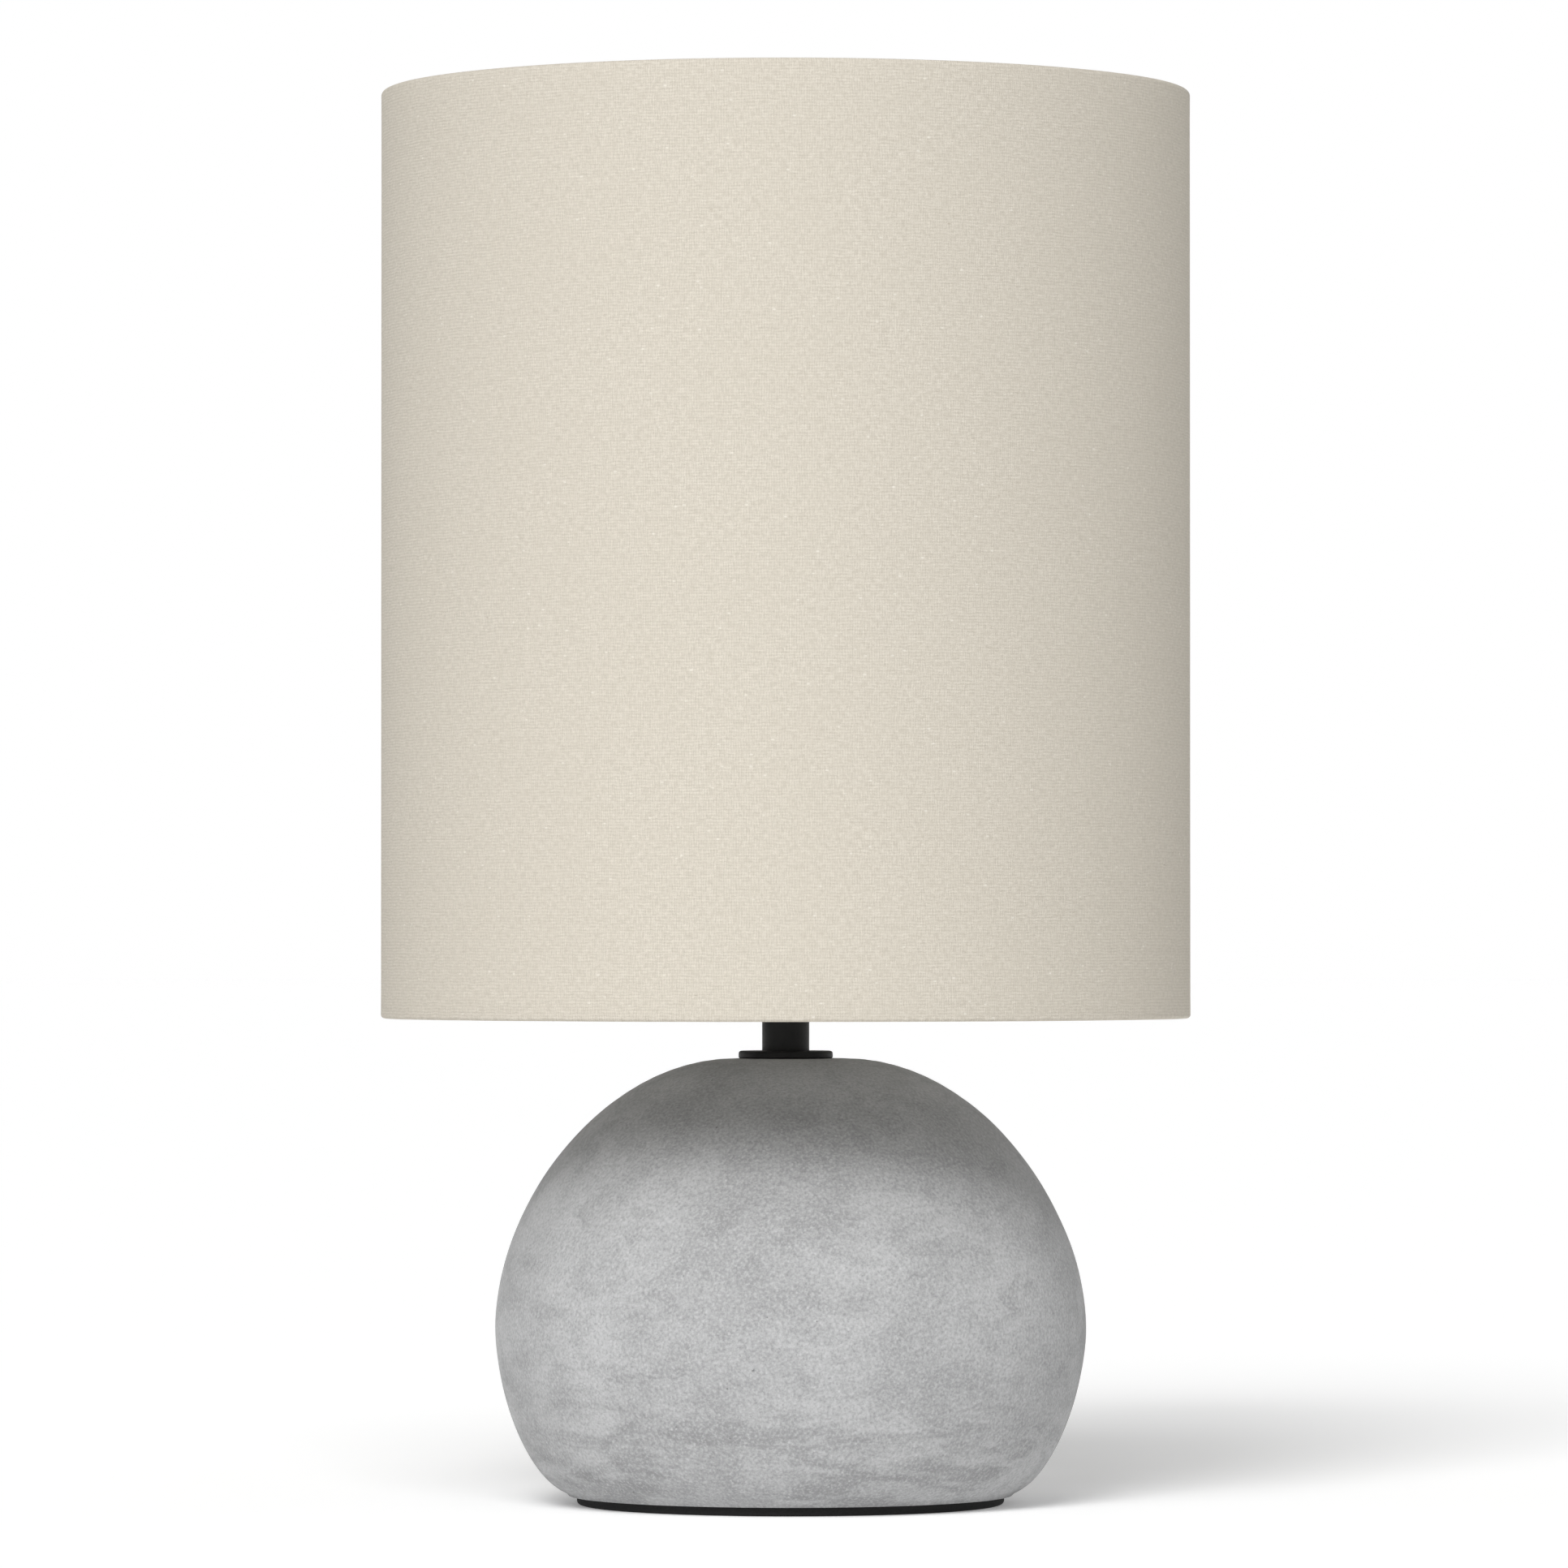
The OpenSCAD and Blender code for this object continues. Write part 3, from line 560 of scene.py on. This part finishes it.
# How far the casting stands off the lamp's axis, and how uneven its skin is:
# the height, size and seed of each wave, and how many rows it takes to fade in
CAST_SHIFT = 1.4 * MM
BROAD_WAVE = (0.32 * MM, 0.055, 138.1)
FINE_WAVE = (0.09 * MM, 0.014, 5.2)
SKIN_INSET = 0.15 * MM
SKIN_FADE_ROWS = 12
# The hollow: its walls lean in by this much up to a rounded ceiling
CORE_LEAN = 6 * MM
CORE_CORNER_R = 9 * MM
# Air holes: how many, the lowest row, how strongly they keep low, how high they go as a
# share of the skin, how large they are, and how often one is a big one
AIR_HOLES = 60
LOWEST_HOLE_ROW = 4
HOLES_LOW = 1.7
HOLES_REACH = 0.85
AIR_HOLE_R = (0.16 * MM, 0.34 * MM)
BIG_HOLE_SHARE = 0.08
BIG_HOLE_FACTOR = 1.5
# The cord outlet at the back, with room round it that has no air holes
OUTLET_R = 4.7 * MM
OUTLET_ANGLE = TURN / 4
OUTLET_TOP_Z = 35 * MM
CLEAR_OF_OUTLET = 0.25
SEAT_DEPTH = 1.5 * MM
SEAT_GAP = 0.6 * MM


def pipe_hole_r():
    """Radius of the hole that the lamp pipe goes through."""
    radii, heights = ring_radii("concrete_body")
    return radii[heights > CROWN_Z - CLOSE].min()


def ball_outline():
    """The outer outline of the casting, foot to crown, read from its CAD solid."""
    radii, heights = ring_radii("concrete_body")
    outside_core = radii > 0.52 * BALL_R
    above_core = heights > 0.8 * CROWN_Z
    outer = outside_core | above_core
    away = np.array([v.co.y for v in NODES["concrete_body"].data.vertices]) < 0
    rings = {}
    for r, z in zip(radii[outer & away], heights[outer & away]):
        rings[round(z, 5)] = max(r, rings.get(round(z, 5), 0.0))
    return [(r, z) for z, r in sorted(rings.items())]


def ball_profile():
    """The whole closed section: foot, skin, crown, pipe hole and the hollow core."""
    radii, heights = ring_radii("concrete_body")
    low = heights < FOOT_Z + CLOSE
    core_r = radii[low].min()
    hole_r = pipe_hole_r()
    ceiling_z = heights[np.isclose(radii, hole_r, atol=CLOSE)].min()
    foot_r = radii[low].max()
    foot = [(core_r + (foot_r - core_r) * i / 4, FOOT_Z) for i in range(5)]
    outline = smooth_line(ball_outline()[1:], BALL_ROWS)
    crown_r = outline[-1][0]
    crown = [(crown_r + (hole_r - crown_r) * i / 6, CROWN_Z) for i in range(1, 7)]
    hole = [(hole_r, CROWN_Z + (ceiling_z - CROWN_Z) * i / 6) for i in range(1, 7)]
    upper_r = core_r - CORE_LEAN
    ceiling = [(upper_r - CORE_CORNER_R, ceiling_z)]
    bend = arc(upper_r - CORE_CORNER_R, ceiling_z - CORE_CORNER_R, CORE_CORNER_R, 75, 0, 5)
    bend_z = bend[-1][1]
    wall = [(upper_r + CORE_LEAN * i / 5, bend_z + (FOOT_Z - bend_z) * i / 5) for i in range(1, 5)]
    section = foot + [tuple(p) for p in outline] + crown + hole + ceiling + bend + wall
    first_skin = len(foot)
    return section, range(first_skin, first_skin + len(outline))


def cylinder_along_y(mesh, radius, y0, y1, z):
    """Adds a closed cylinder that lies along the Y axis to a bmesh."""
    turn = Matrix.Rotation(math.radians(90), 4, "X")
    place = Matrix.Translation((0, (y0 + y1) / 2, z)) @ turn
    bmesh.ops.create_cone(
        mesh, cap_ends=True, segments=64, radius1=radius, radius2=radius, depth=y1 - y0, matrix=place
    )


def outlet_cutter():
    """The cord channel and the seat of its bush, as one cutting shape."""
    low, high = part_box("cord_grommet")
    z = (low.z + high.z) / 2
    flange_r = (high.z - low.z) / 2
    cutter = bmesh.new()
    cylinder_along_y(cutter, OUTLET_R, 0.3 * BALL_R, BALL_R, z)
    cylinder_along_y(cutter, flange_r + SEAT_GAP, high.y - SEAT_DEPTH, 1.1 * BALL_R, z)
    return cutter


def air_holes(cutter, skin):
    """Adds small balls that cut round-bottomed air holes into the skin, more of them low down."""
    draw = random.Random(11)
    for _ in range(AIR_HOLES):
        row = int(len(skin) * draw.random() ** HOLES_LOW * HOLES_REACH) + LOWEST_HOLE_ROW
        angle = draw.uniform(0, TURN)
        size = draw.uniform(*AIR_HOLE_R)
        if draw.random() > 1 - BIG_HOLE_SHARE:
            size *= BIG_HOLE_FACTOR
        r, z = skin[row]
        if abs(angle - OUTLET_ANGLE) < CLEAR_OF_OUTLET and z < OUTLET_TOP_Z:
            continue
        centre = Matrix.Translation((CAST_SHIFT + r * math.cos(angle), r * math.sin(angle), z))
        bmesh.ops.create_icosphere(cutter, subdivisions=2, radius=size, matrix=centre)


def ball():
    """The concrete casting, with its cord outlet and air holes cut out of it."""
    section, skin_rows = ball_profile()
    first, last = skin_rows[0], skin_rows[-1]
    core_r, foot_r, crown_r = section[0][0], section[first][0], section[last][0]
    hole_r = pipe_hole_r()

    def cast(r, angle, z, index):
        """A little off the lamp's axis and uneven on the skin, but true in the core and pipe hole."""
        x, y = r * math.cos(angle), r * math.sin(angle)
        if index in skin_rows:
            fade = min(1.0, (index - first) / SKIN_FADE_ROWS, (last - index) / SKIN_FADE_ROWS)
            waves = [height * swell(x, y, z, size, seed) for height, size, seed in (BROAD_WAVE, FINE_WAVE)]
            r += fade * (sum(waves) - SKIN_INSET)
            share = 1.0
        elif index < first:
            share = (r - core_r) / (foot_r - core_r)
        else:
            share = max(0.0, (r - hole_r) / (crown_r - hole_r)) if z > CROWN_Z - CLOSE else 0.0
        return r * math.cos(angle) + share * CAST_SHIFT, r * math.sin(angle), z

    piece = revolve("concrete_ball", section, BALL_COLUMNS, "base", "concrete", ["concrete_body"], cast)
    cutter = outlet_cutter()
    air_holes(cutter, [section[i] for i in skin_rows])
    mesh = bpy.data.meshes.new("cutter")
    cutter.to_mesh(mesh)
    cutter.free()
    tool = add_object("cutter", mesh)
    cut = piece.modifiers.new("cut", "BOOLEAN")
    cut.object = tool
    cut.operation = "DIFFERENCE"
    cut.solver = "EXACT"
    apply_modifiers(piece)
    bpy.data.objects.remove(tool)


# ---- Foot pad -------------------------------------------------------------------------

PAD_COLUMNS = 256
PAD_LOWER_EDGE_R = 1.2 * MM
PAD_UPPER_EDGE_R = 0.3 * MM
PAD_MIDDLE_R = 0.5 * MM
PAD_WAVE = 0.16 * MM
PAD_INSET = 0.1 * MM


def foot_pad():
    """A foam disc, pressed a little out of true round its edge."""
    _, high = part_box("base_pad")
    r, top = high.x, high.z
    spokes = [r * i / 6 for i in range(6)]
    profile = (
        [(spoke, 0.0) for spoke in spokes]
        + arc(r - PAD_LOWER_EDGE_R, PAD_LOWER_EDGE_R, PAD_LOWER_EDGE_R, -90, 0, 8)
        + arc(r - PAD_UPPER_EDGE_R, top - PAD_UPPER_EDGE_R, PAD_UPPER_EDGE_R, 0, 90, 3)
        + [(spoke, top) for spoke in spokes[::-1]]
    )
    profile = [(max(radius, PAD_MIDDLE_R), z) for radius, z in profile]

    def pressed(radius, angle, z, index):
        """A little wavy round the edge, and centred under the casting."""
        if radius > 0.8 * r:
            wave = swell(math.cos(angle) * 0.06, math.sin(angle) * 0.06, z, 0.02, 4.4)
            radius += PAD_WAVE * wave - PAD_INSET
        return CAST_SHIFT + radius * math.cos(angle), radius * math.sin(angle), z

    piece = revolve("foot_pad", profile, PAD_COLUMNS, "base", "foam_pad", ["base_pad"], pressed)


# ---- Rolled threads and welds ---------------------------------------------------------

ROLL_PITCH = 3.63 * MM
ROLL_T = 0.4 * MM
ROLL_BEND_R = 1.0 * MM
ROLL_COLUMNS = 144
ROLL_ROWS_PER_TURN = 12
# Plain height above the last thread, and how far each thread's end fades, in pitches
ROLL_PLAIN_TOP = 1 / 3
ROLL_FADE = 0.4
# Weld beads: their size, how much they spread along each axis, and where they sit
BEAD_R = 1.75 * MM
BEAD_SPREAD = (1.2, 1.15, 0.8)
BEAD_BELOW_FITTER = 0.5 * MM
BEAD_ABOVE_RING = 0.4 * MM
BEAD_LUMPS = 0.2 * MM


def rolled_shell(name, node, body, slot, depth):
    """A thin shell with a rolled right-hand thread, in place of a node that shows it as rings.

    The thread stands out by the depth on either side of the wall's middle."""
    radii, _ = ring_radii(node)
    low, high = low_high(node)
    wall_r = radii.max() - depth - ROLL_T / 2
    middle_z = low + ROLL_T / 2
    rows = round(ROLL_ROWS_PER_TURN * (high - low) / ROLL_PITCH)
    bend = arc(wall_r - ROLL_BEND_R, middle_z + ROLL_BEND_R, ROLL_BEND_R, -90, 0, 6)
    wall_z0 = bend[-1][1]
    wall = [(wall_r, wall_z0 + (high - wall_z0) * i / rows) for i in range(1, rows + 1)]
    path = [(radii.min(), middle_z)] + bend + wall
    sides = path_normals(path) * ROLL_T / 2
    outside = np.array(path) + sides
    inside = np.array(path) - sides
    section = [tuple(p) for p in outside] + [tuple(p) for p in inside[::-1]]

    def rolled(r, angle, z, index):
        """Waves the wall along a helix, and leaves it plain at both ends."""
        fade = min(z - wall_z0, high - ROLL_PLAIN_TOP * ROLL_PITCH - z) / (ROLL_FADE * ROLL_PITCH)
        r += depth * min(max(fade, 0.0), 1.0) * math.cos(TURN * (z - low) / ROLL_PITCH - angle)
        return r * math.cos(angle), r * math.sin(angle), z

    revolve(name, section, ROLL_COLUMNS, body, slot, [node], rolled)


def weld_beads():
    """A small uneven bead of weld at both ends of each carrier arm."""
    ring_z = sum(low_high("bottom_ring")) / 2
    fitter_z = low_high("fitter_ring")[0]
    fitter_r = ring_radii("fitter_ring")[0].max()
    ends = [(fitter_r, fitter_z - BEAD_BELOW_FITTER), (WIRE_CENTRE_R - WIRE_R, ring_z + BEAD_ABOVE_RING)]
    beads = bmesh.new()
    for angle in ARM_ANGLES:
        turn = Matrix.Rotation(math.radians(angle), 4, "Z")
        for r, z in ends:
            place = turn @ Matrix.Translation((r, 0, z)) @ Matrix.Diagonal((*BEAD_SPREAD, 1.0))
            bmesh.ops.create_icosphere(beads, subdivisions=3, radius=BEAD_R, matrix=place)
    beads.normal_update()
    for vertex in beads.verts:
        vertex.co += vertex.normal * BEAD_LUMPS * swell(*vertex.co, 1.3 * MM, 6.0)
    vertices = [vertex.co for vertex in beads.verts]
    faces = [[vertex.index for vertex in face.verts] for face in beads.faces]
    piece_from("weld_beads", vertices, faces, "shade", "white_wire")
    beads.free()


# ---- CAD nodes that stay --------------------------------------------------------------


def dress_cad_nodes():
    """Gives every CAD node its slot's material."""
    slots = {row["node"]: row["material_slot"] for row in frame["record"]["subparts"]}
    for name, node in NODES.items():
        node.data.materials.clear()
        node.data.materials.append(MATERIALS[slots[name]])


# ---- Stage, lights and camera ---------------------------------------------------------

FLOOR_REACH = 30.0
# Light that the floor gives off, as a lit white table does
FLOOR_GLOW = 0.22
# Soft suns: azimuth and elevation of each in degrees (0 is in front, negative is left),
# how wide it looks in degrees, and its strength
SUNS = {
    "key": (-15, 33, 20, 1.26),
    "top_front": (-10, 46, 28, 1.4),
    "left_fill": (-85, 12, 45, 0.05),
    "right_rim": (110, 12, 45, 0.17),
}
# Brightness of the sky by the sine of the elevation: a lit wall all round, and a soft box overhead
SKY = [(0.0, 1.0), (0.11, 1.0), (0.15, 0.05), (0.6, 0.05), (0.8, 0.56)]
# The camera's lens and sensor in millimetres, its place in metres and its tilt up in degrees
LENS = 221.7
SENSOR = 36.0
CAMERA_PLACE = (-0.0005, -2.868, 0.1702)
CAMERA_TILT = 0.8665


def floor():
    """A wide white floor that glows a little."""
    reach = FLOOR_REACH
    mesh = bpy.data.meshes.new("floor")
    corners = [(-reach, -reach, 0), (reach, -reach, 0), (reach, reach, 0), (-reach, reach, 0)]
    mesh.from_pydata(corners, [], [(0, 1, 2, 3)])
    look = Look("floor", Roughness=0.8, Specular_IOR_Level=0.1, Base_Color=grey(0.92))
    look.feed(look.shader.inputs["Emission Color"], grey(1.0))
    look.feed(look.shader.inputs["Emission Strength"], FLOOR_GLOW)
    mesh.materials.append(look.material)
    add_object("floor", mesh)


def sun(name, azimuth, elevation, width, strength):
    data = bpy.data.lights.new(name, "SUN")
    data.angle = math.radians(width)
    data.energy = strength
    light = add_object(name, data)
    a, e = math.radians(azimuth), math.radians(elevation)
    towards = Vector((math.sin(a) * math.cos(e), -math.cos(a) * math.cos(e), math.sin(e)))
    light.rotation_euler = towards.to_track_quat("Z", "Y").to_euler()


def sky():
    """A white sky whose brightness changes only with height."""
    world = bpy.data.worlds.new("sky")
    world.use_nodes = True
    tree = world.node_tree
    direction = tree.nodes.new("ShaderNodeTexCoord")
    parts = tree.nodes.new("ShaderNodeSeparateXYZ")
    ramp = tree.nodes.new("ShaderNodeValToRGB")
    stops = ramp.color_ramp.elements
    for index, (sine, brightness) in enumerate(SKY):
        stop = stops[index] if index < len(stops) else stops.new(sine)
        stop.position = sine
        stop.color = grey(brightness)
    tree.links.new(direction.outputs["Generated"], parts.inputs[0])
    tree.links.new(parts.outputs["Z"], ramp.inputs[0])
    tree.links.new(ramp.outputs[0], tree.nodes["Background"].inputs["Color"])
    bpy.context.scene.world = world


def studio():
    """The sky and the suns, shown with a plain view transform."""
    sky()
    for name, placing in SUNS.items():
        sun(name, *placing)
    bpy.context.scene.view_settings.view_transform = "Standard"


def camera():
    """A long lens from straight in front, a little above the shade's foot and tilted a little up."""
    data = bpy.data.cameras.new("camera")
    data.lens = LENS
    data.sensor_width = SENSOR
    made = add_object("camera", data)
    made.location = CAMERA_PLACE
    made.rotation_euler = (math.radians(90 + CAMERA_TILT), 0, 0)
    bpy.context.scene.camera = made


# ---- The scene ------------------------------------------------------------------------

camera()
studio()
floor()
dress_cad_nodes()
cloth()
ball()
foot_pad()
rolled_shell("rolled_bulb_cap", "bulb_cap", "bulb", "bulb_metal", 0.4 * MM)
rolled_shell("rolled_screw_shell", "screw_shell", "base", "contact_brass", 0.35 * MM)
weld_beads()
